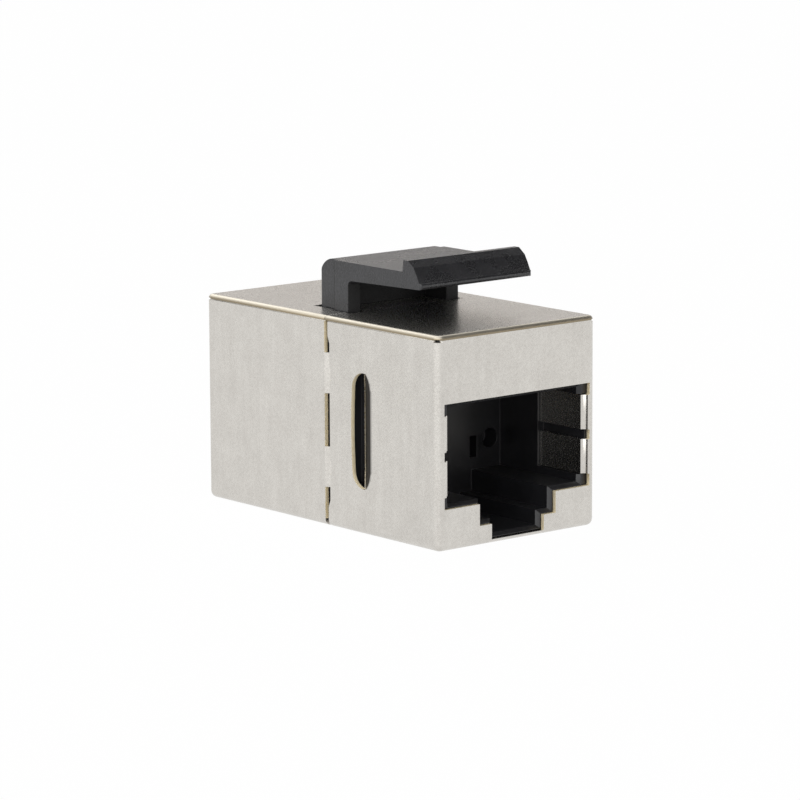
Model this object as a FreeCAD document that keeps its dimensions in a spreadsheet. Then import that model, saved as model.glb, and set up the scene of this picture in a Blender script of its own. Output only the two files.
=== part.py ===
"""Shielded RJ45 inline coupler: two jacks back to back in a pressed metal shell with a snap latch.

Frame: millimetres, +Z up, front port facing -Y, origin at the bottom centre of the shell.
"""
import FreeCAD, Part
import math
import os
import Sketcher

from FreeCAD import Placement, Rotation, Vector

doc = FreeCAD.newDocument("Coupler")

# ---------------------------------------------------------------- driving dimensions (mm, degrees)

dimensions = (
    ("shellWidth", 14.5, "outside width of the metal shell"),
    ("shellHeight", 15.0, "outside height of the metal shell"),
    ("shellLength", 26.0, "front face to rear face"),
    ("sheet", 0.3, "thickness of the shell metal"),
    ("foldInside", 0.1, "inside radius of the long folds"),
    ("bottomFold", 0.5, "outside radius of the folds round the bottom"),
    ("topFold", 0.31, "outside radius of the folds round the top"),
    ("faceFold", 0.55, "outside radius of the upright folds beside the face"),
    ("seamAhead", 1.05, "edge of the front shell ahead of the middle"),
    ("seamGap", 0.37, "gap between the two shell halves"),
    ("seamStep", 0.2, "how far the side edge stands back along the seam"),
    ("seamMargin", 1.4, "height of the full edge left at the top and bottom of the seam"),
    ("seamSlope", 0.5, "height over which the edge steps back"),
    ("seamNotch", 0.12, "depth of the notch in the edge over a tongue"),
    ("seamNotchHeight", 0.95, "height of the notch over a tongue"),
    ("butt", 0.06, "open line where a side wall butts against the top"),
    ("buttDepth", 0.1, "depth of that line"),
    ("relief", 0.14, "height of the relief where three folds meet"),
    ("reliefWidth", 0.4, "width of that relief"),
    ("sideLand", 1.1, "face metal left beside the port"),
    ("topLand", 4.74, "face metal left above the port"),
    ("portFloor", 2.93, "height of the port floor"),
    ("stepWidth", 7.0, "width of the wide step of the tab way"),
    ("stepFloor", 1.4, "height of the floor of the wide step"),
    ("slotWidth", 4.8, "width of the narrow slot of the tab way"),
    ("flapFold", 0.35, "outside radius of the fold of a port flap"),
    ("flapLength", 4.6, "front face to the end of a port flap"),
    ("endNotch", 0.86, "relief notch above and below the port flaps"),
    ("middleNotch", 0.7, "relief notch between two port flaps"),
    ("lanceCentre", 7.35, "height of the middle of a side spring"),
    ("lanceHeight", 8.2, "height of the window of a side spring"),
    ("lanceFront", 7.04, "front face to the bend of a side spring"),
    ("lanceNose", 0.9, "corner radius of the window beside the bend"),
    ("lanceEnd", 7.93, "front face to the ends of the free edge of a side spring"),
    ("lanceBack", 9.38, "front face to the cut edge behind a side spring"),
    ("lanceBow", 0.1, "how far that cut edge bows rearward in the middle"),
    ("lanceCorner", 1.2, "corner radius of the window beside the cut edge"),
    ("lanceDepth", 0.62, "how deep the side spring is pressed in"),
    ("lanceLean", 1.2, "how far the free edge moves rearward for each unit of depth"),
    ("lanceLand", 0.12, "width of the flat along the free edge"),
    ("lanceTuck", 0.03, "step from the wall down to the bend of a side spring"),
    ("tongueTop", 12.4, "top of the upper joining tongue"),
    ("tongueBottom", 2.8, "bottom of the lower joining tongue"),
    ("tongueHeight", 2.9, "height of a joining tongue"),
    ("tongueReach", 1.6, "seam edge of the rear shell to the end of a tongue"),
    ("joggleRun", 0.5, "length over which a tongue steps inward"),
    ("slide", 0.02, "clearance between a tongue and the front shell"),
    ("fit", 0.05, "clearance between moulded and pressed pieces"),
    ("mouldingEdge", 0.3, "moulding showing above and below the port"),
    ("mouldingSide", 0.22, "moulding standing inside a port flap"),
    ("leadIn", 0.25, "chamfer round the mouth of the moulding"),
    ("cavityDepth", 8.7, "front face to the stop of the plug cavity"),
    ("spigotLength", 1.0, "narrow rear end of a jack moulding"),
    ("frameDepth", 2.5, "depth of the centre frame"),
    ("frameWall", 0.85, "wall of the centre frame beside the board"),
    ("frameFloor", 0.8, "wall of the centre frame below the board"),
    ("boardThickness", 0.8, "thickness of the circuit board"),
    ("boardMargin", 0.3, "top of the circuit board above the comb"),
    ("contactPitch", 1.02, "distance between neighbouring contacts"),
    ("contactWidth", 0.35, "width of a contact"),
    ("contactThickness", 0.25, "thickness of a contact"),
    ("contactDrop", 3.44, "top of the shell down to the straight run of a contact"),
    ("contactBend", 0.55, "radius of the front bend of a contact"),
    ("contactFront", 3.4, "front face to the centre of the front bend"),
    ("contactSlope", 18.0, "slope of the free arm of a contact"),
    ("contactGap", 0.5, "free end of a contact to the stop of the plug cavity"),
    ("combMargin", 0.4, "comb beside the outer contacts"),
    ("combRoof", 0.8, "comb above the contacts"),
    ("combClearance", 0.03, "clearance round a contact in its groove"),
    ("latchWidth", 10.2, "width of the latch"),
    ("legWidth", 1.1, "width of a latch leg"),
    ("legDepth", 3.53, "depth of a latch leg"),
    ("legStep", 1.53, "front of a leg to the narrower rear part of the latch"),
    ("legInset", 0.35, "how far that rear part stands in from the sides"),
    ("armTop", 18.57, "height of the top of the latch arm"),
    ("armThickness", 1.3, "thickness of the latch arm"),
    ("armCorner", 0.25, "radius of the rear corners of the arm from above"),
    ("lipCorner", 0.25, "radius of the ends of the lip"),
    ("heelRadius", 1.5, "radius of the rear top edge of the latch"),
    ("webThickness", 1.2, "thickness of the wall between the legs"),
    ("webClearance", 0.12, "top of the shell to the wall between the legs"),
    ("crotchRadius", 0.45, "radius between leg and arm"),
    ("lipHeight", 0.82, "height of the lip above the arm"),
    ("lipBack", 6.3, "front face to the back of the lip"),
    ("lipTop", 0.5, "depth of the flat top of the lip"),
    ("lipDraft", 0.1, "how far the back of the lip leans forward"),
    ("bevelRun", 0.6, "depth of the bevel along the top front of the lip"),
    ("bevelDrop", 0.44, "height of that bevel"),
    ("ridgeDrop", 0.93, "top of the lip to the ridge across its ramp"),
    ("ridgeReach", 1.5, "back of the lip to the ridge"),
    ("lipReach", 2.0, "back of the lip to the tip of the nose"),
    ("noseRadius", 0.22, "radius of the nose of the lip"),
    ("noseLift", 0.2, "how far the nose stands above the underside of the arm"),
    ("footThickness", 0.8, "thickness of the foot of the latch"),
    ("footClearance", 0.3, "clearance round the foot of the latch"),
    ("slotClearance", 0.15, "clearance beside a latch leg in its slot"),
    ("slotTail", 0.6, "length of a leg slot behind the leg"),
    ("slotFloor", 0.3, "moulding under the narrow slot"),
    ("windowClearance", 0.1, "clearance of a side spring in the moulding"),
    ("ventDiameter", 1.4, "round hole in the stop of the plug cavity"),
    ("ventSide", 1.0, "centre of the round hole from the cavity wall"),
    ("ventHeight", 2.1, "centre of the round hole above the cavity floor"),
    ("keywaySide", 2.2, "near side of the upright slot from the cavity wall"),
    ("keywayWidth", 0.65, "width of the upright slot in the stop"),
    ("keywayFloor", 0.85, "bottom of the upright slot above the cavity floor"),
    ("keywayHeight", 1.55, "height of the upright slot"),
    ("ventDepth", 1.3, "depth of the round hole and the upright slot"),
)

sheet = doc.addObject("Spreadsheet::Sheet", "Dimensions")
for row, (alias, value, note) in enumerate(dimensions, start=1):
    sheet.set(f"A{row}", alias)
    sheet.set(f"B{row}", str(value))
    sheet.set(f"C{row}", note)
    sheet.setAlias(f"B{row}", alias)
doc.recompute()

# ---------------------------------------------------------------- places worked out from them

derived = (
    ("halfWidth", "shellWidth / 2"),
    ("halfLength", "shellLength / 2"),
    ("flapFace", "halfWidth - sideLand"),
    ("cutHalf", "flapFace + flapFold"),
    ("portTop", "shellHeight - topLand"),
    ("flapHeight", "(portTop - portFloor - 2 * endNotch - middleNotch) / 2"),
    ("frontShellLength", "halfLength - seamAhead"),
    ("rearShellLength", "halfLength + seamAhead - seamGap"),
    ("seamEdge", "seamGap - seamAhead"),
    ("mouldHalf", "halfWidth - sheet - fit"),
    ("mouldBottom", "sheet + fit"),
    ("mouldTop", "shellHeight - sheet - fit"),
    ("spigotHalf", "halfWidth - 2 * sheet - 2 * fit"),
    ("cavityHalf", "flapFace - mouldingSide"),
    ("cavityFloor", "portFloor + mouldingEdge"),
    ("cavityTop", "portTop - mouldingEdge"),
    ("contactReach", "cavityDepth - contactGap"),
    ("wireLevel", "shellHeight - contactDrop"),
    ("combHalf", "3.5 * contactPitch + contactWidth / 2 + combMargin"),
    ("combBottom", "wireLevel - contactThickness / 2 - combClearance"),
    ("combTop", "wireLevel + contactThickness / 2 + combRoof"),
    ("footTop", "shellHeight - sheet - footClearance"),
    ("footBottom", "footTop - footThickness"),
    ("troughFloor", "footBottom - footClearance"),
    ("armUnder", "armTop - armThickness"),
    ("legBack", "seamEdge + legDepth"),
    ("legInside", "latchWidth / 2 - legWidth"),
    ("lanceRound", "((lanceHeight / 2 - lanceCorner) ^ 2 + lanceBow ^ 2) / (2 * lanceBow)"),
    ("springHalf", "(lanceHeight + sheet) / 2"),
    ("mouldEnd", "frameDepth / 2 + fit"),
    ("boardHalf", "spigotHalf - frameWall - fit"),
    ("boardBottom", "mouldBottom + frameFloor + fit"),
    ("boardTop", "combTop + boardMargin"),
)
firstDerivedRow = len(dimensions) + 2
for row, (alias, formula) in enumerate(derived, start=firstDerivedRow):
    sheet.set(f"A{row}", alias)
    sheet.set(f"B{row}", "=" + formula)
    sheet.setAlias(f"B{row}", alias)
    doc.recompute()

names = sorted((entry[0] for entry in dimensions + derived), key=len, reverse=True)


def bound(formula):
    """Put the sheet's name before each alias in a formula."""
    text = ""
    word = ""
    for letter in formula + " ":
        if letter.isalnum():
            word += letter
            continue
        text += f"Dimensions.{word}" if word in names else word
        text += letter
        word = ""
    return text.strip()


def value(formula):
    """The number that a formula gives now."""
    return float(sheet.evalExpression(bound(formula)))


# ---------------------------------------------------------------- helpers for bodies and sketches


def newBody(label):
    body = doc.addObject("PartDesign::Body", label)
    body.Label = label
    return body


def originPlane(body, role):
    return [item for item in body.Origin.OriginFeatures if item.Role == role][0]


def newSketch(body, role, offset, name):
    """A sketch on one of the body's own planes, moved along the plane's normal."""
    sketch = body.newObject("Sketcher::SketchObject", name)
    sketch.AttachmentSupport = (originPlane(body, role), [""])
    sketch.MapMode = "FlatFace"
    sketch.setExpression("AttachmentOffset.Base.z", bound(offset))
    return sketch


def pin(sketch, geometry, point, corner):
    """Hold one point of the sketch at two formulas."""
    for kind, formula in zip(("DistanceX", "DistanceY"), corner):
        constraint = Sketcher.Constraint(kind, -1, 1, geometry, point, value(formula))
        index = sketch.addConstraint(constraint)
        sketch.setExpression(f"Constraints[{index}]", bound(formula))


def arcBetween(start, end, radius, side):
    """The arc from start to end whose centre lies left (+1) or right (-1) of the chord."""
    chord = end - start
    middle = (start + end) * 0.5
    height = math.sqrt(max(radius ** 2 - (chord.Length / 2) ** 2, 0.0))
    across = Vector(-chord.y, chord.x, 0).normalize()
    centre = middle + across * height * side
    angles = [math.atan2(point.y - centre.y, point.x - centre.x) for point in (start, end)]
    if side < 0:
        angles.reverse()
    circle = Part.Circle(centre, Vector(0, 0, 1), radius)
    return Part.ArcOfCircle(circle, angles[0], angles[1])


def outline(sketch, corners, arcs=None):
    """A closed outline through corners; arcs maps a corner's number to (radius, side)."""
    arcs = arcs or {}
    places = [Vector(value(x), value(y), 0) for x, y in corners]
    ends = []
    for number, start in enumerate(places):
        end = places[(number + 1) % len(places)]
        if number in arcs:
            radius, side = arcs[number]
            index = sketch.addGeometry(arcBetween(start, end, value(radius), side))
            ends.append((index, 1, 2) if side > 0 else (index, 2, 1))
        else:
            index = sketch.addGeometry(Part.LineSegment(start, end))
            ends.append((index, 1, 2))
    for number, corner in enumerate(corners):
        index, first, last = ends[number]
        following, followingFirst, _ = ends[(number + 1) % len(corners)]
        sketch.addConstraint(Sketcher.Constraint("Coincident", index, last, following, followingFirst))
        pin(sketch, index, first, corner)
        if number in arcs:
            radius = arcs[number][0]
            held = sketch.addConstraint(Sketcher.Constraint("Radius", index, value(radius)))
            sketch.setExpression(f"Constraints[{held}]", bound(radius))


def bothSides(sketch, corners, arcs=None):
    """An outline and its mirror image across the sketch's vertical axis."""
    arcs = arcs or {}
    outline(sketch, corners, arcs)
    outline(sketch, [(f"-({x})", y) for x, y in corners],
            {number: (radius, -side) for number, (radius, side) in arcs.items()})


def rectangle(sketch, left, bottom, right, top):
    outline(sketch, [(left, bottom), (right, bottom), (right, top), (left, top)])


def roundCorner(sketch, across, along, radius, way):
    """The waste outside a rounded corner; way is + for a rear corner and - for a front one."""
    back = "-" if way == "+" else "+"
    bothSides(sketch, [
        (across, f"{along} {back} {radius}"), (f"{across} - {radius}", along),
        (f"{across} - {radius}", f"{along} {way} {radius}"),
        (f"{across} + {radius}", f"{along} {way} {radius}"),
        (f"{across} + {radius}", f"{along} {back} {radius}"),
    ], arcs={0: (radius, 1 if way == "+" else -1)})


def extrude(kind, sketch, name, length, reverse=False, bothWays=False):
    """A Pad or Pocket of a sketch."""
    body = sketch.getParentGeoFeatureGroup()
    feature = body.newObject(f"PartDesign::{kind}", name)
    feature.Profile = sketch
    feature.setExpression("Length", bound(length))
    feature.Reversed = reverse
    feature.Midplane = bothWays
    sketch.Visibility = False
    doc.recompute()
    return feature


def pad(sketch, name, length, reverse=False, bothWays=False):
    return extrude("Pad", sketch, name, length, reverse, bothWays)


def pocket(sketch, name, length, reverse=False, bothWays=False):
    """A Pocket that must take material away."""
    before = sketch.getParentGeoFeatureGroup().Shape.Volume
    feature = extrude("Pocket", sketch, name, length, reverse, bothWays)
    if feature.Shape.Volume >= before - 1e-6:
        raise RuntimeError(f"{name} cuts nothing")
    return feature


def edgesWhere(shape, wanted):
    return [f"Edge{number}" for number, edge in enumerate(shape.Edges, start=1) if wanted(edge)]


def dress(kind, base, name, size, wanted):
    """A Fillet or Chamfer on the edges of base that wanted() picks."""
    body = base.getParentGeoFeatureGroup()
    feature = body.newObject(f"PartDesign::{kind}", name)
    feature.Base = (base, edgesWhere(base.Shape, wanted))
    feature.setExpression("Radius" if kind == "Fillet" else "Size", bound(size))
    doc.recompute()
    return feature


def runsAlong(edge, axis):
    """Whether a straight edge runs along an axis."""
    if edge.Curve.TypeId != "Part::GeomLine":
        return False
    return abs(abs(edge.Curve.Direction.dot(axis)) - 1) < 1e-6


def liesAt(edge, axis, place):
    """Whether every point of an edge has the given coordinate along an axis."""
    box = edge.BoundBox
    low = Vector(box.XMin, box.YMin, box.ZMin).dot(axis)
    high = Vector(box.XMax, box.YMax, box.ZMax).dot(axis)
    return abs(low - place) < 1e-4 and abs(high - place) < 1e-4


def mirrored(feature, name):
    """The feature again on the other side of the middle plane."""
    body = feature.getParentGeoFeatureGroup()
    copy = body.newObject("PartDesign::Mirrored", name)
    copy.Originals = [feature]
    copy.MirrorPlane = (originPlane(body, "YZ_Plane"), [""])
    body.Tip = copy
    doc.recompute()


def repeated(feature, name, length, count, axis="N_Axis"):
    """The feature count times along an axis of its own sketch."""
    body = feature.getParentGeoFeatureGroup()
    row = body.newObject("PartDesign::LinearPattern", name)
    row.Originals = [feature]
    row.Direction = (feature.Profile[0], [axis])
    row.setExpression("Length", bound(length))
    row.Occurrences = count
    body.Tip = row
    doc.recompute()


def turnedRound(body):
    """Turn a body half a turn about Z, so that it serves the rear port."""
    body.Placement = Placement(Vector(0, 0, 0), Rotation(Vector(0, 0, 1), 180))
    doc.recompute()


yAxis = Vector(0, 1, 0)
zAxis = Vector(0, 0, 1)

# ---------------------------------------------------------------- the two shell halves


def shellHalf(label, length):
    """A pressed shell with its face at the front: folded walls, stepped port and port flaps."""
    body = newBody(label)
    block = newSketch(body, "XZ_Plane", "halfLength", "ShellSection")
    rectangle(block, "-halfWidth", "0", "halfWidth", "shellHeight")
    solid = pad(block, "ShellBlock", length, reverse=True)
    corners = newSketch(body, "XY_Plane", "shellHeight", "FaceCorners")
    roundCorner(corners, "halfWidth", "-halfLength", "faceFold", "-")
    rounded = pocket(corners, "FaceFolds", "shellHeight")
    openEnd = solid.Shape.BoundBox.YMax
    folded = dress("Fillet", rounded, "TopFolds", "topFold",
                   lambda edge: liesAt(edge, zAxis, value("shellHeight"))
                   and not liesAt(edge, yAxis, openEnd))
    dress("Fillet", folded, "BottomFolds", "bottomFold",
          lambda edge: liesAt(edge, zAxis, 0) and not liesAt(edge, yAxis, openEnd))

    hollow = newSketch(body, "XZ_Plane", "halfLength - sheet", "HollowSection")
    rectangle(hollow, "sheet - halfWidth", "sheet", "halfWidth - sheet", "shellHeight - sheet")
    hollowed = pocket(hollow, "Hollow", length)
    inside = value("halfWidth - sheet")
    dress("Fillet", hollowed, "InnerFolds", "foldInside",
          lambda edge: runsAlong(edge, yAxis) and abs(abs(edge.CenterOfMass.x) - inside) < 1e-4)

    line = newSketch(body, "XZ_Plane", "halfLength", "ButtSection")
    under = "shellHeight - topFold"
    bothSides(line, [("halfWidth - buttDepth", f"{under} - butt"), ("halfWidth + sheet", f"{under} - butt"),
                     ("halfWidth + sheet", under), ("halfWidth - buttDepth", under)])
    pocket(line, "ButtLines", length)
    spot = newSketch(body, "XZ_Plane", "halfLength", "ReliefSection")
    bothSides(spot, [("halfWidth - reliefWidth", f"{under} - relief"),
                     ("halfWidth + sheet", f"{under} - relief"),
                     ("halfWidth + sheet", f"{under} + butt"),
                     ("halfWidth - reliefWidth", f"{under} + butt")])
    pocket(spot, "Reliefs", "faceFold")

    port = newSketch(body, "XZ_Plane", "halfLength", "PortOutline")
    outline(port, [
        ("cutHalf", "portFloor"), ("cutHalf", "portTop"), ("-cutHalf", "portTop"),
        ("-cutHalf", "portFloor"), ("-stepWidth / 2", "portFloor"), ("-stepWidth / 2", "stepFloor"),
        ("-slotWidth / 2", "stepFloor"), ("-slotWidth / 2", "sheet"), ("slotWidth / 2", "sheet"),
        ("slotWidth / 2", "stepFloor"), ("stepWidth / 2", "stepFloor"), ("stepWidth / 2", "portFloor"),
    ])
    pocket(port, "Port", "2 * sheet")
    portFlaps(body)
    return body


def portFlaps(body):
    """Two flaps on each side of the port, folded in from the face along the cavity walls."""
    strip = newSketch(body, "XY_Plane", "portFloor + endNotch", "FlapSection")
    outer = "flapFace"
    inner = "flapFace + sheet"
    root = "cutHalf + sheet / 2"
    bendStart = "flapFold - halfLength"
    bothSides(strip, [
        (root, "-halfLength"), ("cutHalf", "-halfLength"), (outer, bendStart),
        (outer, "flapLength - halfLength"), (inner, "flapLength - halfLength"), (inner, bendStart),
        ("cutHalf", "sheet - halfLength"), (root, "sheet - halfLength"),
    ], arcs={1: ("flapFold", 1), 5: ("flapFold - sheet", -1)})
    repeated(pad(strip, "Flaps", "flapHeight"), "FlapPairs", "flapHeight + middleNotch", 2)


def seamSteps(body):
    """The side edges of the front shell stand back between the ends of the seam."""
    step = newSketch(body, "YZ_Plane", "0", "SeamStep")
    edge = "-seamAhead"
    back = f"{edge} - seamStep"
    past = f"{edge} + seamStep"
    outline(step, [
        (edge, "seamMargin"), (past, "seamMargin"), (past, "shellHeight - seamMargin"),
        (edge, "shellHeight - seamMargin"), (back, "shellHeight - seamMargin - seamSlope"),
        (back, "seamMargin + seamSlope"),
    ])
    pocket(step, "SeamSteps", "2 * shellWidth", bothWays=True)
    notch = newSketch(body, "YZ_Plane", "0", "SeamNotch")
    for middle in ("tongueBottom + tongueHeight / 2", "tongueTop - tongueHeight / 2"):
        rectangle(notch, f"{back} - seamNotch", f"{middle} - seamNotchHeight / 2",
                  past, f"{middle} + seamNotchHeight / 2")
    pocket(notch, "SeamNotches", "2 * shellWidth", bothWays=True)


# heights of the sections through a side spring, as shares of half its height
springShares = (-0.97, -0.93, -0.88, -0.8, -0.65, -0.4, 0.4, 0.65, 0.8, 0.88, 0.93, 0.97)
springFullness = 7


def sideSprings(body):
    """A spring in each side wall: a window with one cut edge and a curved flap bent into it."""
    window = newSketch(body, "YZ_Plane", "0", "SpringWindow")
    front = "lanceFront - halfLength"
    back = "lanceBack - lanceBow - halfLength"
    low = "lanceCentre - lanceHeight / 2"
    high = "lanceCentre + lanceHeight / 2"
    outline(window, [
        (f"{front} + lanceNose", low), (f"{back} - lanceCorner", low), (back, f"{low} + lanceCorner"),
        (back, f"{high} - lanceCorner"), (f"{back} - lanceCorner", high),
        (f"{front} + lanceNose", high), (front, f"{high} - lanceNose"), (front, f"{low} + lanceNose"),
    ], arcs={1: ("lanceCorner", 1), 2: ("lanceRound", 1), 3: ("lanceCorner", 1),
             5: ("lanceNose", 1), 7: ("lanceNose", 1)})
    pocket(window, "SpringWindows", "2 * shellWidth", bothWays=True)

    sections = [springSection(body, share) for share in springShares]
    flap = body.newObject("PartDesign::AdditiveLoft", "SpringFlap")
    flap.Profile = sections[0]
    flap.Sections = sections[1:]
    flap.Ruled = True
    doc.recompute()
    mirrored(flap, "SpringFlaps")


def springSection(body, share):
    """A level section of the flap: held in the wall, an arc inward, a flat at the free edge."""
    fullness = 1 - abs(share) ** springFullness
    section = newSketch(body, "XY_Plane", f"lanceCentre + {share} * springHalf", "SpringSection")
    bend = f"lanceEnd - (lanceEnd - lanceFront) * {fullness} - halfLength"
    depth = f"lanceDepth * {fullness}"
    free = f"lanceEnd + lanceLean * {depth} - halfLength"
    flat = f"{free} - lanceLand * {fullness}"
    run = f"({flat} - ({bend}))"
    outerDrop = f"({depth} - lanceTuck)"
    innerDrop = f"({depth} + lanceTuck)"
    outline(section, [
        ("halfWidth - lanceTuck", f"{bend} - sheet"), ("halfWidth - lanceTuck", bend),
        (f"halfWidth - {depth}", flat), (f"halfWidth - {depth}", free),
        (f"halfWidth - sheet - {depth}", free), (f"halfWidth - sheet - {depth}", flat),
        ("halfWidth - sheet + lanceTuck", bend), ("halfWidth - sheet + lanceTuck", f"{bend} - sheet"),
    ], arcs={1: (f"({run} ^ 2 + {outerDrop} ^ 2) / (2 * {outerDrop})", 1),
             5: (f"({run} ^ 2 + {innerDrop} ^ 2) / (2 * {innerDrop})", -1)})
    return section


def joiningTongues(body):
    """Two tongues on each side step inward and lie under the wall of the other shell."""
    section = newSketch(body, "XY_Plane", "tongueBottom", "TongueSection")
    edge = "rearShellLength - halfLength"
    outer = "halfWidth - sheet - slide"
    inner = "halfWidth - 2 * sheet - slide"
    bothSides(section, [
        ("halfWidth - sheet", f"{edge} - sheet"), ("halfWidth", f"{edge} - sheet"),
        ("halfWidth", edge), (outer, f"{edge} + joggleRun"), (outer, f"{edge} + tongueReach"),
        (inner, f"{edge} + tongueReach"), (inner, f"{edge} + joggleRun"),
        ("halfWidth - sheet", edge),
    ])
    spacing = "tongueTop - tongueHeight - tongueBottom"
    repeated(pad(section, "Tongues", "tongueHeight"), "TonguePairs", spacing, 2)


def legSlots(body):
    """Two slots in the top, open at the seam, that the latch legs come up through."""
    slots = newSketch(body, "XY_Plane", "shellHeight", "LegSlot")
    edge = "rearShellLength - halfLength"
    inner = "legInside - slotClearance"
    outer = "latchWidth / 2 + slotClearance"
    back = f"{edge} - legDepth - slotTail"
    past = f"{edge} + sheet"
    step = f"{edge} - legStep - slotClearance"
    bothSides(slots, [(inner, back), (f"{outer} - legInset", back), (f"{outer} - legInset", step),
                      (outer, step), (outer, past), (inner, past)])
    pocket(slots, "LegSlots", "2 * sheet")


frontShell = shellHalf("front_shell", "frontShellLength")
seamSteps(frontShell)
sideSprings(frontShell)

rearShell = shellHalf("rear_shell", "rearShellLength")
joiningTongues(rearShell)
legSlots(rearShell)
turnedRound(rearShell)

# ---------------------------------------------------------------- jack mouldings


def jackMoulding(label):
    """The insulating block of one port, with its plug cavity, tab way and room for the comb."""
    body = newBody(label)
    front = "halfLength - sheet - fit"
    main = newSketch(body, "XZ_Plane", front, "BlockSection")
    rectangle(main, "-mouldHalf", "mouldBottom", "mouldHalf", "mouldTop")
    pad(main, "Block", f"{front} - mouldEnd - spigotLength", reverse=True)
    spigot = newSketch(body, "XZ_Plane", "mouldEnd + spigotLength", "SpigotSection")
    rectangle(spigot, "-spigotHalf", "mouldBottom", "spigotHalf", "mouldTop")
    pad(spigot, "Spigot", "spigotLength", reverse=True)

    cavity = newSketch(body, "XZ_Plane", "halfLength", "CavityOutline")
    stepHalf = "stepWidth / 2 - mouldingEdge"
    slotHalf = "slotWidth / 2 - mouldingEdge"
    stepBottom = "stepFloor + mouldingEdge"
    slotBottom = "mouldBottom + slotFloor"
    outline(cavity, [
        ("cavityHalf", "cavityFloor"), ("cavityHalf", "cavityTop"), ("-cavityHalf", "cavityTop"),
        ("-cavityHalf", "cavityFloor"), (f"-({stepHalf})", "cavityFloor"),
        (f"-({stepHalf})", stepBottom), (f"-({slotHalf})", stepBottom),
        (f"-({slotHalf})", slotBottom), (slotHalf, slotBottom), (slotHalf, stepBottom),
        (stepHalf, stepBottom), (stepHalf, "cavityFloor"),
    ])
    cut = pocket(cavity, "PlugCavity", "cavityDepth")
    mouth = -value(front)
    rim = value("mouldHalf") - 1e-3
    dress("Chamfer", cut, "LeadIn", "leadIn",
          lambda edge: liesAt(edge, yAxis, mouth) and abs(edge.CenterOfMass.x) < rim
          and value("mouldBottom") + 1e-3 < edge.CenterOfMass.z < value("mouldTop") - 1e-3)

    flapRoom = newSketch(body, "XZ_Plane", "halfLength", "FlapRoomSection")
    rectangle(flapRoom, "-flapFace - sheet - fit", "portFloor + endNotch - fit",
              "flapFace + sheet + fit", "portTop - endNotch + fit")
    pocket(flapRoom, "FlapRoom", "flapLength + fit")

    window = newSketch(body, "YZ_Plane", "mouldHalf", "SpringRoomSection")
    rectangle(window, "lanceFront - halfLength - windowClearance",
              "lanceCentre - lanceHeight / 2 - windowClearance",
              "lanceBack - halfLength + windowClearance",
              "lanceCentre + lanceHeight / 2 + windowClearance")
    mirrored(pocket(window, "SpringRoom", "lanceDepth + windowClearance - fit"), "SpringRooms")

    channel = newSketch(body, "XZ_Plane", "mouldEnd", "CombChannelSection")
    rectangle(channel, "-combHalf - fit", "combBottom - fit", "combHalf + fit", "combTop + fit")
    ahead = "halfLength - contactFront + 2 * contactBend"
    pocket(channel, "CombChannel", f"{ahead} - mouldEnd", reverse=True)
    wires = newSketch(body, "XZ_Plane", ahead, "WireWindowSection")
    rectangle(wires, "-combHalf - fit", "cavityTop - fit", "combHalf + fit", "combBottom")
    pocket(wires, "WireWindow", "cavityDepth - contactFront + 2 * contactBend")

    recess = newSketch(body, "XY_Plane", "mouldTop", "FootRecessSection")
    rectangle(recess, "-latchWidth / 2 - footClearance", "-legBack - footClearance",
              "latchWidth / 2 + footClearance", "0")
    pocket(recess, "FootRecess", "mouldTop - troughFloor")

    vent = newSketch(body, "XZ_Plane", "halfLength - cavityDepth", "VentsSection")
    circle = vent.addGeometry(Part.Circle(Vector(value("cavityHalf - ventSide"),
                                                 value("cavityFloor + ventHeight"), 0),
                                          zAxis, value("ventDiameter / 2")))
    pin(vent, circle, 3, ("cavityHalf - ventSide", "cavityFloor + ventHeight"))
    held = vent.addConstraint(Sketcher.Constraint("Diameter", circle, value("ventDiameter")))
    vent.setExpression(f"Constraints[{held}]", bound("ventDiameter"))
    rectangle(vent, "cavityHalf - keywaySide - keywayWidth", "cavityFloor + keywayFloor",
              "cavityHalf - keywaySide", "cavityFloor + keywayFloor + keywayHeight")
    body.Tip = pocket(vent, "Vents", "ventDepth")
    return body


frontMoulding = jackMoulding("front_jack_moulding")
rearMoulding = jackMoulding("rear_jack_moulding")
turnedRound(rearMoulding)

# ---------------------------------------------------------------- centre frame and circuit board


def centreFrame():
    """The ring between the two mouldings; it holds the board and the foot of the latch."""
    body = newBody("centre_frame")
    ring = newSketch(body, "XZ_Plane", "0", "RingSection")
    rectangle(ring, "-mouldHalf", "mouldBottom", "mouldHalf", "mouldTop")
    pad(ring, "Ring", "frameDepth", bothWays=True)
    room = newSketch(body, "XZ_Plane", "0", "TongueRoomSection")
    for low in ("tongueBottom", "tongueTop - tongueHeight"):
        bothSides(room, [("spigotHalf", f"{low} - fit"), ("halfWidth", f"{low} - fit"),
                         ("halfWidth", f"{low} + tongueHeight + fit"),
                         ("spigotHalf", f"{low} + tongueHeight + fit")])
    pocket(room, "TongueRoom", "2 * frameDepth", bothWays=True)
    window = newSketch(body, "XZ_Plane", "0", "BoardWindowSection")
    rectangle(window, "-boardHalf - fit", "boardBottom - fit", "boardHalf + fit", "boardTop + fit")
    pocket(window, "BoardWindow", "2 * frameDepth", bothWays=True)
    trough = newSketch(body, "XY_Plane", "mouldTop", "TroughSection")
    rectangle(trough, "-latchWidth / 2 - footClearance", "seamEdge - footClearance",
              "latchWidth / 2 + footClearance", "frameDepth")
    pocket(trough, "Trough", "mouldTop - troughFloor")
    return body


def circuitBoard():
    body = newBody("circuit_board")
    plate = newSketch(body, "XZ_Plane", "0", "BoardOutline")
    rectangle(plate, "-boardHalf", "boardBottom", "boardHalf", "boardTop")
    pad(plate, "Board", "boardThickness", bothWays=True)
    return body


centreFrame()
circuitBoard()

# ---------------------------------------------------------------- contacts and their combs

contactCount = 8


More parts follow.
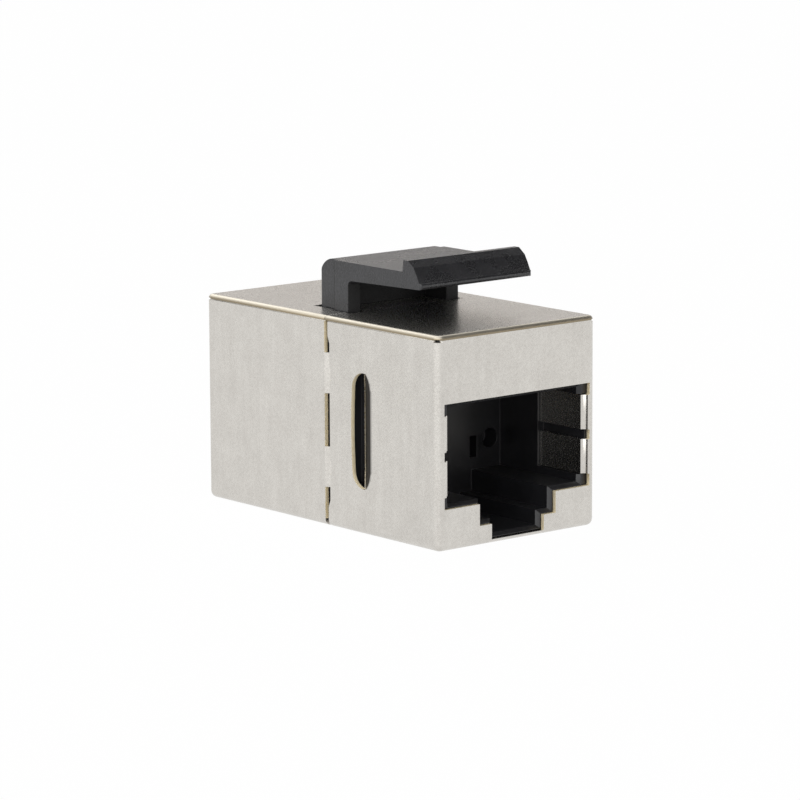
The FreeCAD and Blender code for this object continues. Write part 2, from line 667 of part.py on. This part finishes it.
def contactComb(label):
    """A slotted bar that spaces the contacts of one port."""
    body = newBody(label)
    section = newSketch(body, "XZ_Plane", "halfLength - contactFront", "CombSection")
    rectangle(section, "-combHalf", "combBottom", "combHalf", "combTop")
    length = "halfLength - contactFront - mouldEnd"
    pad(section, "Bar", length, reverse=True)
    groove = newSketch(body, "XZ_Plane", "halfLength - contactFront", "GrooveSection")
    middle = "-3.5 * contactPitch"
    rectangle(groove, f"{middle} - contactWidth / 2 - combClearance", "combBottom - combClearance",
              f"{middle} + contactWidth / 2 + combClearance",
              "wireLevel + contactThickness / 2 + combClearance")
    repeated(pocket(groove, "Groove", length), "Grooves", "7 * contactPitch", contactCount, "H_Axis")
    return body


def contact(label, place):
    """One bent spring contact: along the comb, round the front bend and down into the cavity."""
    body = newBody(label)
    centre = f"{place} * contactPitch"
    path = newSketch(body, "YZ_Plane", centre, "ContactPath")
    bendPlace = "contactFront - halfLength"
    lowPlace = f"{bendPlace} - contactBend * sin(contactSlope * 1 deg)"
    lowLevel = "wireLevel - contactBend - contactBend * cos(contactSlope * 1 deg)"
    endPlace = "contactReach - halfLength"
    endLevel = f"{lowLevel} - ({endPlace} - ({lowPlace})) * tan(contactSlope * 1 deg)"
    stops = [("-boardThickness / 2", "wireLevel"), (bendPlace, "wireLevel"),
             (lowPlace, lowLevel), (endPlace, endLevel)]
    places = [Vector(value(y), value(z), 0) for y, z in stops]
    run = path.addGeometry(Part.LineSegment(places[0], places[1]))
    bend = path.addGeometry(arcBetween(places[1], places[2], value("contactBend"), 1))
    arm = path.addGeometry(Part.LineSegment(places[2], places[3]))
    path.addConstraint(Sketcher.Constraint("Coincident", run, 2, bend, 1))
    path.addConstraint(Sketcher.Constraint("Coincident", bend, 2, arm, 1))
    pin(path, run, 1, stops[0])
    pin(path, run, 2, stops[1])
    pin(path, arm, 1, stops[2])
    pin(path, arm, 2, stops[3])
    held = path.addConstraint(Sketcher.Constraint("Radius", bend, value("contactBend")))
    path.setExpression(f"Constraints[{held}]", bound("contactBend"))

    section = newSketch(body, "XZ_Plane", "boardThickness / 2", "ContactSection")
    rectangle(section, f"{centre} - contactWidth / 2", "wireLevel - contactThickness / 2",
              f"{centre} + contactWidth / 2", "wireLevel + contactThickness / 2")
    strip = body.newObject("PartDesign::AdditivePipe", "Strip")
    strip.Profile = section
    strip.Spine = (path, ["Edge1", "Edge2", "Edge3"])
    doc.recompute()
    return body


for port in ("front", "rear"):
    comb = contactComb(f"{port}_contact_comb")
    if port == "rear":
        turnedRound(comb)
    for number in range(1, contactCount + 1):
        strip = contact(f"{port}_contact_{number}", number - (contactCount + 1) / 2)
        if port == "rear":
            turnedRound(strip)

# ---------------------------------------------------------------- latch


def latch():
    """One moulding: a foot inside the shell, two legs, a springy arm and a ramped lip."""
    body = newBody("latch")
    side = newSketch(body, "YZ_Plane", "0", "LatchProfile")
    lip = "lipBack - halfLength"
    lipTopLevel = "armTop + lipHeight"
    noseFront = f"{lip} - lipReach + noseRadius"
    noseBottom = "armUnder + noseLift"
    outline(side, [
        ("seamEdge", "footBottom"), ("legBack", "footBottom"),
        ("legBack", "armTop - heelRadius"), ("legBack - heelRadius", "armTop"),
        (lip, "armTop"), (f"{lip} - lipDraft", lipTopLevel), (f"{lip} - lipDraft - lipTop", lipTopLevel),
        (f"{lip} - lipDraft - lipTop - bevelRun", f"{lipTopLevel} - bevelDrop"),
        (f"{lip} - ridgeReach", f"{lipTopLevel} - ridgeDrop"),
        (noseFront, f"{noseBottom} + 2 * noseRadius"),
        (f"{noseFront} - noseRadius", f"{noseBottom} + noseRadius"), (noseFront, noseBottom),
        ("seamEdge - crotchRadius", "armUnder"), ("seamEdge", "armUnder - crotchRadius"),
    ], arcs={2: ("heelRadius", 1), 9: ("noseRadius", 1), 10: ("noseRadius", 1),
             12: ("crotchRadius", -1)})
    pad(side, "LatchBlank", "latchWidth", bothWays=True)
    gap = newSketch(body, "YZ_Plane", "0", "LegGapSection")
    web = "legBack - webThickness"
    webBottom = "shellHeight + webClearance"
    outline(gap, [
        ("seamEdge - sheet", "footTop"), ("legBack + sheet", "footTop"), ("legBack + sheet", webBottom),
        (web, webBottom), (web, "armUnder"), ("seamEdge - sheet", "armUnder"),
    ])
    pocket(gap, "LegGap", "2 * legInside", bothWays=True)
    corners = newSketch(body, "XY_Plane", "armTop + 2 * lipHeight", "PlanCorners")
    tip = f"{lip} - lipReach"
    rear = "latchWidth / 2 - legInset"
    bothSides(corners, [
        (rear, "legBack - armCorner"), (f"{rear} - armCorner", "legBack"),
        (f"{rear} - armCorner", "legBack + armCorner"), ("latchWidth", "legBack + armCorner"),
        ("latchWidth", "seamEdge + legStep"), (rear, "seamEdge + legStep"),
    ], arcs={0: ("armCorner", 1)})
    roundCorner(corners, "latchWidth / 2", tip, "lipCorner", "-")
    pocket(corners, "TrimmedSides", "armTop + 2 * lipHeight")
    return body



latch()

# ---------------------------------------------------------------- checks and export

doc.recompute()
for item in doc.Objects:
    if "Invalid" in item.State or "Error" in item.State:
        raise RuntimeError(f"{item.Name} failed: {item.State}")

bodies = [item for item in doc.Objects if item.TypeId == "PartDesign::Body"]
for body in bodies:
    shape = body.Shape
    if shape.isNull() or not shape.isValid() or len(shape.Solids) != 1:
        raise RuntimeError(f"{body.Label} is not one valid solid")

os.makedirs("parts", exist_ok=True)
for body in bodies:
    body.Shape.exportStep(f"parts/{body.Label}.step")
    box = body.Shape.BoundBox
    print(f"{body.Label:24s} {body.Shape.Volume:9.3f} mm3  x {box.XMin:7.3f} {box.XMax:7.3f}"
          f"  y {box.YMin:7.3f} {box.YMax:7.3f}  z {box.ZMin:7.3f} {box.ZMax:7.3f}")
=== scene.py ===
import math

import bmesh
import bpy
from mathutils import Matrix, Vector


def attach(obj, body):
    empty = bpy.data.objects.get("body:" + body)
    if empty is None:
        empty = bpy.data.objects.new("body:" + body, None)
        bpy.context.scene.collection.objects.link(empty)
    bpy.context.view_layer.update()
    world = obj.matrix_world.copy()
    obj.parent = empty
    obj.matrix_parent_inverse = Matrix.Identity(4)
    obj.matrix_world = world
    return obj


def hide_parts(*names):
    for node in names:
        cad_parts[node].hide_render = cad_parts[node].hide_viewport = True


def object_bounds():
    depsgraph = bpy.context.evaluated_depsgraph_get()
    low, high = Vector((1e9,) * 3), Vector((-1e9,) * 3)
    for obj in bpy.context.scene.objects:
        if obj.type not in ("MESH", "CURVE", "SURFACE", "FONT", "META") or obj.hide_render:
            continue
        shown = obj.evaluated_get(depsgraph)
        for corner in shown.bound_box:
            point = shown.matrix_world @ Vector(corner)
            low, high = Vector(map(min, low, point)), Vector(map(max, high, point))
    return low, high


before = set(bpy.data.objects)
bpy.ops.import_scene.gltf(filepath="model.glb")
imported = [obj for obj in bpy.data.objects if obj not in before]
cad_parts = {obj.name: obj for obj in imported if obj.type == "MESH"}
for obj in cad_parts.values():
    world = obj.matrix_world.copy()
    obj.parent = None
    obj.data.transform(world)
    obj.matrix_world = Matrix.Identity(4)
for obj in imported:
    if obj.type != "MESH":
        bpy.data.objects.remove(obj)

cadLow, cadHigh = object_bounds()
scene = bpy.context.scene
millimetre = 0.001
perMetre = 1 / millimetre                     # shapes are worked in millimetres


# small tools for wiring shaders

def pick(sockets, key):                       # a socket by its number, identifier or name
    if isinstance(key, int):
        return sockets[key]
    for socket in sockets:
        if socket.identifier == key:
            return socket
    return sockets[key]


def plug(socket, value):
    if isinstance(value, Wire):
        socket.id_data.links.new(value.socket, socket)
    else:
        socket.default_value = value


def addNode(tree, kind, settings, sockets, result=0):
    node = tree.nodes.new(kind)
    for name, value in settings.items():      # settings first: they decide which sockets there are
        setattr(node, name, value)
    for key, value in sockets.items():
        plug(pick(node.inputs, key), value)
    return Wire(pick(node.outputs, result)) if len(node.outputs) else node


class Wire:                                   # an output socket that takes part in sums
    def __init__(self, socket):
        self.socket = socket

    def maths(self, operation, first, second=0.0, clamp=False):
        settings = {"operation": operation, "use_clamp": clamp}
        return addNode(self.socket.id_data, "ShaderNodeMath", settings, {0: first, 1: second})

    def __add__(self, other):
        return self.maths("ADD", self, other)

    def __radd__(self, other):
        return self.maths("ADD", other, self)

    def __sub__(self, other):
        return self.maths("SUBTRACT", self, other)

    def __rsub__(self, other):
        return self.maths("SUBTRACT", other, self)

    def __mul__(self, other):
        return self.maths("MULTIPLY", self, other)

    def __rmul__(self, other):
        return self.maths("MULTIPLY", other, self)

    def __truediv__(self, other):
        return self.maths("DIVIDE", self, other)

    def __rtruediv__(self, other):
        return self.maths("DIVIDE", other, self)

    def __gt__(self, other):
        return self.maths("GREATER_THAN", self, other)

    def __lt__(self, other):
        return self.maths("LESS_THAN", self, other)

    def __abs__(self):
        return self.maths("ABSOLUTE", self)

    def orMore(self, other):
        return self.maths("MAXIMUM", self, other)

    def held(self):                           # kept from 0 to 1
        return self.maths("ADD", self, 0.0, clamp=True)

    def uneven(self, amount):                 # a noise made to swing about nought
        return (self - 0.5) * amount

    def spread(self, contrast):               # a noise with more contrast about its middle
        return (self.uneven(contrast) + 0.5).held()


def colour(code):                             # a hex colour as the shader's linear one
    parts = [int(code[i:i + 2], 16) / 255 for i in (0, 2, 4)]
    return tuple(p / 12.92 if p <= 0.04045 else ((p + 0.055) / 1.055) ** 2.4 for p in parts) + (1,)


class Finish:                                 # a material with its main shader
    def __init__(self, name):
        self.material = bpy.data.materials.new(name)
        self.material.use_nodes = True
        self.tree = self.material.node_tree
        self.tree.nodes.clear()

    def add(self, kind, settings=None, sockets=None, result=0):
        return addNode(self.tree, kind, settings or {}, sockets or {}, result)

    def place(self, stretch=(1, 1, 1)):       # the piece's own coordinates, in millimetres
        here = self.add("ShaderNodeTexCoord", result="Object")
        scale = tuple(s * perMetre for s in stretch)
        return self.add("ShaderNodeMapping", sockets={"Vector": here, "Scale": scale})

    def along(self, axis):                    # how far along an axis of the frame, in millimetres
        return self.add("ShaderNodeSeparateXYZ", sockets={"Vector": self.place()}, result=axis)

    def noise(self, size, detail=2.0, roughness=0.5, stretch=(1, 1, 1)):    # size in millimetres
        sockets = {"Vector": self.place(stretch), "Scale": 1 / size,
                   "Detail": detail, "Roughness": roughness}
        return self.add("ShaderNodeTexNoise", sockets=sockets)

    def mix(self, share, first, second):
        sockets = {"Factor_Float": share, "A_Color": first, "B_Color": second}
        return self.add("ShaderNodeMix", {"data_type": "RGBA"}, sockets, "Result_Color")

    def blend(self, share, finish):           # from the dark to the light of a finish's own colours
        return self.mix(share, colour(finish["dark"]), colour(finish["light"]))

    def bump(self, height, depth, strength=1.0):    # depth in millimetres
        sockets = {"Height": height, "Distance": depth * millimetre, "Strength": strength}
        return self.add("ShaderNodeBump", sockets=sockets, result="Normal")

    def show(self, shader):
        self.add("ShaderNodeOutputMaterial", sockets={"Surface": shader})

    def close(self, **sockets):               # the main shader, from its sockets by name
        named = {name.replace("_", " "): value for name, value in sockets.items()}
        self.show(self.add("ShaderNodeBsdfPrincipled", sockets=named))
        return self.material


# the finishes, each with its own numbers: lengths in millimetres, noises by the size of their grain

shellSheet = dict(thickness=0.3, edgeBreak=0.035, halfWidth=7.25, halfLength=13.0, lowFold=0.51)
# shade is a dark colour painted on the spring's bend as painted shade
sideSpring = dict(
    bottom=3.1, top=11.6, bend=-6.2, edge=-5.07, lean=1.2, flat=0.12,
    step=0.032, blend=0.02, dull=0.2, shade="2C2926",
)
# light and dark paint a highlight along the top folds, cream at the top of each fold and darker brown at its
# foot
topFold = dict(radius=0.31, foot=14.69, run=0.22, dull=0.15, light="DCD6C8", dark="8A7F6B")
nickelPlate = dict(
    dark="C0BCB6", light="DAD7D1", roughness=0.27, uneven=0.12,
    clouds=1.5, cloudShare=0.2, grain=0.15, grainShare=0.6, drawn=0.5, drawnShare=0.2,
    drawnDown=0.12, contrast=2.6, depth=0.0025, strength=0.3,
)


def bentIn(f):                                # the bent part of a side spring, up to the flat along its edge, where a painted shade darkens the colour
    depth = shellSheet["halfWidth"] - abs(f.along("X"))
    along = f.along("Y")
    height = f.along("Z")
    beforeEdge = sideSpring["edge"] + depth * sideSpring["lean"] - along
    isSpring = (beforeEdge > sideSpring["flat"]) * (along > sideSpring["bend"])
    isSpring = isSpring * (height > sideSpring["bottom"]) * (height < sideSpring["top"])
    return ((depth - sideSpring["step"]) / sideSpring["blend"]).held() * isSpring


def onTopFold(f):                             # the folds round the top, with a painted highlight: cream above, going to darker brown at the foot, and duller
    inSide = abs(f.along("X")) > shellSheet["halfWidth"] - topFold["radius"]
    inEnd = abs(f.along("Y")) > shellSheet["halfLength"] - topFold["radius"]
    return inSide.orMore(inEnd) * (f.along("Z") > topFold["foot"])


def nickelFinish():
    f = Finish("satinNickel")
    clouds = f.noise(nickelPlate["clouds"], detail=3.0)
    grain = f.noise(nickelPlate["grain"], detail=4.0, roughness=0.7)
    drawn = f.noise(nickelPlate["drawn"], detail=3.0, stretch=(1, 1, nickelPlate["drawnDown"]))
    patchy = clouds * nickelPlate["cloudShare"] + grain * nickelPlate["grainShare"]
    patchy = patchy + drawn * nickelPlate["drawnShare"]
    plain = f.blend(patchy.spread(nickelPlate["contrast"]), nickelPlate)
    fold = onTopFold(f)
    # up grades the painted highlight from the fold's foot to its top
    up = 1 - ((topFold["foot"] + topFold["radius"] - f.along("Z")) / topFold["run"]).held()
    plain = f.mix(fold, plain, f.blend(up, topFold))
    bent = bentIn(f)
    dull = bent * sideSpring["dull"] + fold * topFold["dull"]
    return f.close(
        # the spring's bend gets the painted shade colour
        Base_Color=f.mix(bent, plain, colour(sideSpring["shade"])),
        Metallic=1.0,
        Roughness=grain.uneven(nickelPlate["uneven"]) + dull + nickelPlate["roughness"],
        Normal=f.bump(grain, nickelPlate["depth"], nickelPlate["strength"]),
    )


brassEdge = dict(dark="DCC796", light="FBF2DA", roughness=0.5, metal=0.15, tear=0.12, down=0.3, depth=0.01)


def brassFinish():
    f = Finish("shearedBrass")
    tear = f.noise(brassEdge["tear"], detail=3.0, stretch=(1, 1, brassEdge["down"]))
    return f.close(
        Base_Color=f.blend(tear.held(), brassEdge),
        Metallic=brassEdge["metal"],
        Roughness=brassEdge["roughness"],
        Normal=f.bump(tear, brassEdge["depth"]),
    )


latchPlastic = dict(
    dark="08080A", light="363639", roughness=0.28, uneven=0.15, ior=1.54, contrast=1.8,
    texture=0.12, textureShare=0.7, flow=2.5, flowShare=0.3, depth=0.035, strength=0.8,
)
legStepLine = dict(place=0.85, width=0.09, shade="050506")    # a narrow dark line down the side of each leg, where its rear steps in; the same dark is the painted shade under the arm
latchArm = dict(under=17.26, legs=-0.71, front=0.1, wall=1.9, halfWidth=5.04, step=0.35, dull=0.4)


def shadeUnderArm(f):                              # the legs' fronts and the wall between them, painted near-black as shade under the arm
    along = f.along("Y")
    behindFront = along > latchArm["legs"] + latchArm["front"]
    halfWidth = latchArm["halfWidth"] - behindFront * latchArm["step"]
    isUnder = (f.along("Z") < latchArm["under"]) * (abs(f.along("X")) < halfWidth)
    return isUnder * (along > latchArm["legs"]) * (along < latchArm["wall"])


def latchFinish():
    f = Finish("blackNylon")
    texture = f.noise(latchPlastic["texture"], detail=3.0)
    flow = f.noise(latchPlastic["flow"])
    patchy = flow * latchPlastic["flowShare"] + texture * latchPlastic["textureShare"]
    plain = f.blend(patchy.spread(latchPlastic["contrast"]), latchPlastic)
    beforeLine = legStepLine["place"] - f.along("Y")
    onLine = (beforeLine > 0) * (beforeLine < legStepLine["width"])
    # under marks where painted shade under the arm darkens the colour
    under = shadeUnderArm(f)
    dull = flow.uneven(latchPlastic["uneven"]) + under * latchArm["dull"]
    return f.close(
        IOR=latchPlastic["ior"],
        Base_Color=f.mix(onLine.orMore(under), plain, colour(legStepLine["shade"])),
        Roughness=dull + latchPlastic["roughness"],
        Normal=f.bump(texture, latchPlastic["depth"], latchPlastic["strength"]),
    )


mouldingPlastic = dict(
    dark="151517", light="222225", roughness=0.34, uneven=0.15, flow=2.0,
    texture=0.2, depth=0.008, strength=0.5,
)


def mouldingFinish():
    f = Finish("blackPolyester")
    texture = f.noise(mouldingPlastic["texture"], detail=3.0)
    flow = f.noise(mouldingPlastic["flow"])
    return f.close(
        Base_Color=f.blend(flow, mouldingPlastic),
        Roughness=flow.uneven(mouldingPlastic["uneven"]) + mouldingPlastic["roughness"],
        Normal=f.bump(texture, mouldingPlastic["depth"], mouldingPlastic["strength"]),
    )


combPlastic = dict(dark="2B2D30", light="3A3C40", roughness=0.5, texture=0.15, depth=0.008, strength=0.5)


def combFinish():
    f = Finish("charcoalNylon")
    texture = f.noise(combPlastic["texture"], detail=3.0)
    return f.close(
        Base_Color=f.blend(texture, combPlastic),
        Roughness=combPlastic["roughness"],
        Normal=f.bump(texture, combPlastic["depth"], combPlastic["strength"]),
    )


boardLacquer = dict(
    dark="0E3B22", light="1B5A34", roughness=0.25, coat=0.3, weave=0.35, depth=0.01, strength=0.4,
)


def boardFinish():
    f = Finish("greenSolderMask")
    weave = f.noise(boardLacquer["weave"])
    return f.close(
        Base_Color=f.blend(weave, boardLacquer),
        Roughness=boardLacquer["roughness"],
        Coat_Weight=boardLacquer["coat"],
        Normal=f.bump(weave, boardLacquer["depth"], boardLacquer["strength"]),
    )


goldPlate = dict(dark="B98A35", light="F0CE7A", roughness=0.22, uneven=0.2, wipe=0.3, along=0.15, depth=0.004)


def goldFinish():
    f = Finish("goldPlate")
    wipe = f.noise(goldPlate["wipe"], detail=3.0, stretch=(1, goldPlate["along"], 1))
    return f.close(
        Base_Color=f.blend(wipe, goldPlate),
        Metallic=1.0,
        Roughness=wipe.uneven(goldPlate["uneven"]) + goldPlate["roughness"],
        Normal=f.bump(wipe, goldPlate["depth"]),
    )


nickel = nickelFinish()
brass = brassFinish()
nylon = latchFinish()
polyester = mouldingFinish()
charcoal = combFinish()
lacquer = boardFinish()
gold = goldFinish()
print("finishes mixed:", len(bpy.data.materials))


# the pieces, worked up from the frame

meshCare = dict(doubles=0.001, flat=0.5, snap=0.0001, sharp=50, weight=80)    # angles in degrees


def wholeMesh(node):                          # a copy with its doubles merged and its flats whole
    mesh = bmesh.new()
    mesh.from_mesh(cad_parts[node].data)
    bmesh.ops.scale(mesh, vec=(perMetre,) * 3, verts=mesh.verts)
    bmesh.ops.remove_doubles(mesh, verts=mesh.verts, dist=meshCare["doubles"])
    bmesh.ops.dissolve_limit(mesh, angle_limit=math.radians(meshCare["flat"]), verts=mesh.verts,
                             edges=mesh.edges, use_dissolve_boundaries=False, delimit={"NORMAL"})
    return mesh


def breakEdges(mesh, width, angle=28):
    sharp = [e for e in mesh.edges if e.is_manifold and e.calc_face_angle(0) > math.radians(angle)]
    bmesh.ops.bevel(mesh, geom=sharp, offset=width, offset_type="OFFSET", segments=2,
                    profile=0.5, affect="EDGES", clamp_overlap=True, material=-1)


def placed(name, mesh, *finishes):            # the mesh as an object at the origin
    data = bpy.data.meshes.new(name)
    mesh.to_mesh(data)
    mesh.free()
    for finish in finishes:
        data.materials.append(finish)
    thing = bpy.data.objects.new(name, data)
    scene.collection.objects.link(thing)
    return thing


def finished(name, mesh, body, *finishes):    # the mesh as a piece of the object
    bmesh.ops.scale(mesh, vec=(millimetre,) * 3, verts=mesh.verts)
    for face in mesh.faces:
        face.smooth = True
    piece = placed(name, mesh, *finishes)
    piece.data.set_sharp_from_angle(angle=math.radians(meshCare["sharp"]))
    weighted = piece.modifiers.new("evenShading", "WEIGHTED_NORMAL")
    weighted.keep_sharp = True
    weighted.weight = meshCare["weight"]
    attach(piece, body)
    return piece


cutEdge = dict(least=0.9, deepest=1.3, square=0.1)    # lengths in thicknesses of the sheet


def isSheared(face):                          # it spans the sheet of a wall, square to it
    least = cutEdge["least"] * shellSheet["thickness"]
    deepest = cutEdge["deepest"] * shellSheet["thickness"]
    for axis, wall in enumerate((shellSheet["halfWidth"], shellSheet["halfLength"])):
        reach = [abs(vert.co[axis]) for vert in face.verts]
        isAcross = max(reach) - min(reach) > least and abs(face.normal[axis]) < cutEdge["square"]
        if isAcross and min(reach) > wall - deepest:
            return True
    return False


def cutAcross(mesh, place, normal, within):    # only the parts that lie within are cut
    verts = [vert for vert in mesh.verts if within(vert.co)]
    chosen = set(verts)
    edges = [edge for edge in mesh.edges if chosen.issuperset(edge.verts)]
    faces = [face for face in mesh.faces if chosen.issuperset(face.verts)]
    bmesh.ops.bisect_plane(mesh, geom=verts + edges + faces, dist=meshCare["snap"],
                           plane_co=place, plane_no=normal)


topSeam = dict(
    fold=14.685, below=0.05, beside=5.3, between=3.85, edge=-1.05, near=0.02, square=0.99,
    rim=1.2, reach=0.33,
)


def isAtSeam(point):
    return abs(point.y) < topSeam["rim"]


def closeTopSeam(mesh):                       # beside and between the legs the two halves meet on top
    for gap in (topSeam["beside"], topSeam["between"]):
        for side in (-1, 1):
            cutAcross(mesh, (side * gap, 0, 0), (1, 0, 0), isAtSeam)
    ends = []
    for face in mesh.faces:
        centre = face.calc_center_median()
        isEnd = face.normal.y > topSeam["square"] and abs(centre.y - topSeam["edge"]) < topSeam["near"]
        isOpen = topSeam["between"] < abs(centre.x) < topSeam["beside"]
        if isEnd and centre.z > topSeam["fold"] - topSeam["below"] and not isOpen:
            ends.append(face)
    grown = bmesh.ops.extrude_face_region(mesh, geom=ends)["geom"]
    bmesh.ops.delete(mesh, geom=ends, context="FACES_ONLY")
    verts = [item for item in grown if isinstance(item, bmesh.types.BMVert)]
    bmesh.ops.translate(mesh, vec=(0, topSeam["reach"], 0), verts=verts)


portNotch = dict(
    face=6.75, edge=6.5, near=0.06, margin=0.001, deeper=0.18,
    levels=((2.88, 3.75), (6.28, 6.91), (9.44, 10.31)),
)


def isAtPort(point):
    wall = shellSheet["halfLength"] - cutEdge["deepest"] * shellSheet["thickness"]
    return abs(point.y) > wall and abs(point.x) < portNotch["face"]


def deepenNotches(mesh):                      # beside the port flaps the sheet is cut further back
    for low, high in portNotch["levels"]:
        for level in (low, high):
            cutAcross(mesh, (0, 0, level), (0, 0, 1), isAtPort)
        for vert in mesh.verts:
            isAtEdge = abs(abs(vert.co.x) - portNotch["edge"]) < portNotch["near"]
            isBetween = low - portNotch["margin"] < vert.co.z < high + portNotch["margin"]
            if isAtPort(vert.co) and isAtEdge and isBetween:
                vert.co.x += math.copysign(portNotch["deeper"], vert.co.x)


def foldedShell(node):
    mesh = wholeMesh(node)
    for height in (shellSheet["lowFold"], topSeam["fold"]):
        cutAcross(mesh, (0, 0, height), (0, 0, 1), isAtSeam)
    for face in mesh.faces:
        if isSheared(face):
            face.material_index = 1           # the brass shows where the sheet was cut
    if node == "front_shell":
        closeTopSeam(mesh)
    breakEdges(mesh, shellSheet["edgeBreak"])
    deepenNotches(mesh)
    piece = finished(node + "_plated", mesh, "shell", nickel, brass)
    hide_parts(node)


for node in ("front_shell", "rear_shell"):
    foldedShell(node)
print("shells folded")

mouldedEdge = dict(port=0.15, frame=0.08, comb=0.04, latch=0.07, latchAngle=18)
webFoot = dict(height=15.12, near=0.01, drop=0.1)


def lowerWeb(mesh):                           # the wall between the legs comes down close to the shell
    for vert in mesh.verts:
        if abs(vert.co.z - webFoot["height"]) < webFoot["near"]:
            vert.co.z -= webFoot["drop"]


def moulded(node, mesh, body, finish):
    piece = finished(node + "_moulded", mesh, body, finish)
    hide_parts(node)


def fixedMoulding(node, width, finish):
    mesh = wholeMesh(node)
    breakEdges(mesh, width)
    moulded(node, mesh, "shell", finish)


def latchMoulding():
    mesh = wholeMesh("latch")
    lowerWeb(mesh)
    breakEdges(mesh, mouldedEdge["latch"], mouldedEdge["latchAngle"])
    moulded("latch", mesh, "latch", nylon)


for end in ("front", "rear"):
    fixedMoulding(end + "_jack_moulding", mouldedEdge["port"], polyester)
    fixedMoulding(end + "_contact_comb", mouldedEdge["comb"], charcoal)
fixedMoulding("centre_frame", mouldedEdge["frame"], polyester)
latchMoulding()
print("mouldings made")


def refinish(node, finish):                   # a frame piece keeps its shape and gets a better material
    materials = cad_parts[node].data.materials
    materials.clear()
    materials.append(finish)


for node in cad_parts:
    if "contact_" in node and "comb" not in node:
        refinish(node, gold)
refinish("circuit_board", lacquer)
print("contacts and board finished")


# floor, light and camera

white = (1, 1, 1, 1)


def seenPlainly(add):                         # camera, mirror and glass rays
    rays = ("Is Camera Ray", "Is Glossy Ray", "Is Transmission Ray")
    camera, mirror, glass = (add("ShaderNodeLightPath", {}, {}, ray) for ray in rays)
    return camera.orMore(mirror).orMore(glass)


def flatSheet(width, height):
    mesh = bmesh.new()
    bmesh.ops.create_grid(mesh, x_segments=1, y_segments=1, size=0.5)
    bmesh.ops.scale(mesh, vec=(width, height, 1), verts=mesh.verts)
    return mesh


floorPaint = dict(size=6.0, tone=(0.94, 0.94, 0.94, 1), white=0.985)


def paleFloor():
    f = Finish("palePaint")
    paint = f.add("ShaderNodeBsdfDiffuse", sockets={"Color": floorPaint["tone"]})
    plain = f.add("ShaderNodeEmission", sockets={"Color": white, "Strength": 1.0})
    share = seenPlainly(f.add) * floorPaint["white"]
    f.show(f.add("ShaderNodeMixShader", sockets={0: share, 1: paint, 2: plain}))
    floor = placed("paleFloor", flatSheet(floorPaint["size"], floorPaint["size"]), f.material)


roomLight = dict(fill=0.26, plain=1.0)


def paleRoom():
    world = bpy.data.worlds.new("paleRoom")
    world.use_nodes = True
    world.node_tree.nodes.clear()
    scene.world = world

    def add(kind, settings, sockets, result=0):
        return addNode(world.node_tree, kind, settings, sockets, result)

    fill = add("ShaderNodeBackground", {}, {"Color": white, "Strength": roomLight["fill"]})
    plain = add("ShaderNodeBackground", {}, {"Color": white, "Strength": roomLight["plain"]})
    both = add("ShaderNodeMixShader", {}, {0: seenPlainly(add), 1: fill, 2: plain})
    add("ShaderNodeOutputWorld", {}, {"Surface": both})


softBoxes = {
    "leftBox": dict(place=(-0.50, -0.16, 0.26), size=1.3, power=7.0),
    "frontBox": dict(place=(0.40, -0.40, 0.14), size=0.15, power=0.12),
    "backBox": dict(place=(0.02, 0.45, 0.42), size=0.40, power=0.5),
}


def turnedTo(place, aim):                     # a lamp's or camera's turn, looking at a point
    return (Vector(aim) - Vector(place)).to_track_quat("-Z", "Y")


def softBox(name, place, size, power):
    lamp = bpy.data.lights.new(name, "AREA")
    lamp.shape = "SQUARE"
    lamp.size = size
    lamp.energy = power
    holder = bpy.data.objects.new(name, lamp)
    holder.location = place
    holder.rotation_mode = "QUATERNION"
    holder.rotation_quaternion = turnedTo(place, (cadLow + cadHigh) / 2)
    scene.collection.objects.link(holder)


cards = {                                     # cards that the camera does not see, for the reflections
    "darkCard": dict(place=(0.25, -0.10, 0.27), width=0.46, height=0.32, tone=(0.06, 0.056, 0.052, 1)),
    "greyCard": dict(place=(0.38, 0.453, 0.12), width=0.50, height=0.22, tone=(0.86, 0.82, 0.79, 1)),
}


def hangCard(name, place, width, height, tone):
    f = Finish(name + "Cloth")
    f.show(f.add("ShaderNodeBsdfDiffuse", sockets={"Color": tone}))
    mesh = flatSheet(width, height)
    turn = turnedTo(place, (cadLow + cadHigh) / 2).to_matrix()
    bmesh.ops.rotate(mesh, cent=(0, 0, 0), matrix=turn, verts=mesh.verts)
    bmesh.ops.translate(mesh, vec=place, verts=mesh.verts)
    card = placed(name, mesh, f.material)
    card.visible_camera = False


shot = dict(
    place=(-0.18956, -0.22827, 0.06123), aim=(0.00018, -0.00002, 0.00804), roll=-0.26,
    lens=189.8, sensor=36, nearest=0.01,
)


def takeShot():
    data = bpy.data.cameras.new("shot")
    data.lens = shot["lens"]
    data.sensor_width = shot["sensor"]
    data.clip_start = shot["nearest"]
    camera = bpy.data.objects.new("shot", data)
    camera.location = shot["place"]
    turn = turnedTo(shot["place"], shot["aim"]).to_matrix().to_4x4()
    camera.rotation_euler = (turn @ Matrix.Rotation(math.radians(shot["roll"]), 4, "Z")).to_euler()
    scene.collection.objects.link(camera)
    scene.camera = camera


paleFloor()
paleRoom()
for name, box in softBoxes.items():
    softBox(name, **box)
for name, card in cards.items():
    hangCard(name, **card)
takeShot()
scene.view_settings.view_transform = "Standard"
print("floor, lamps and camera placed")
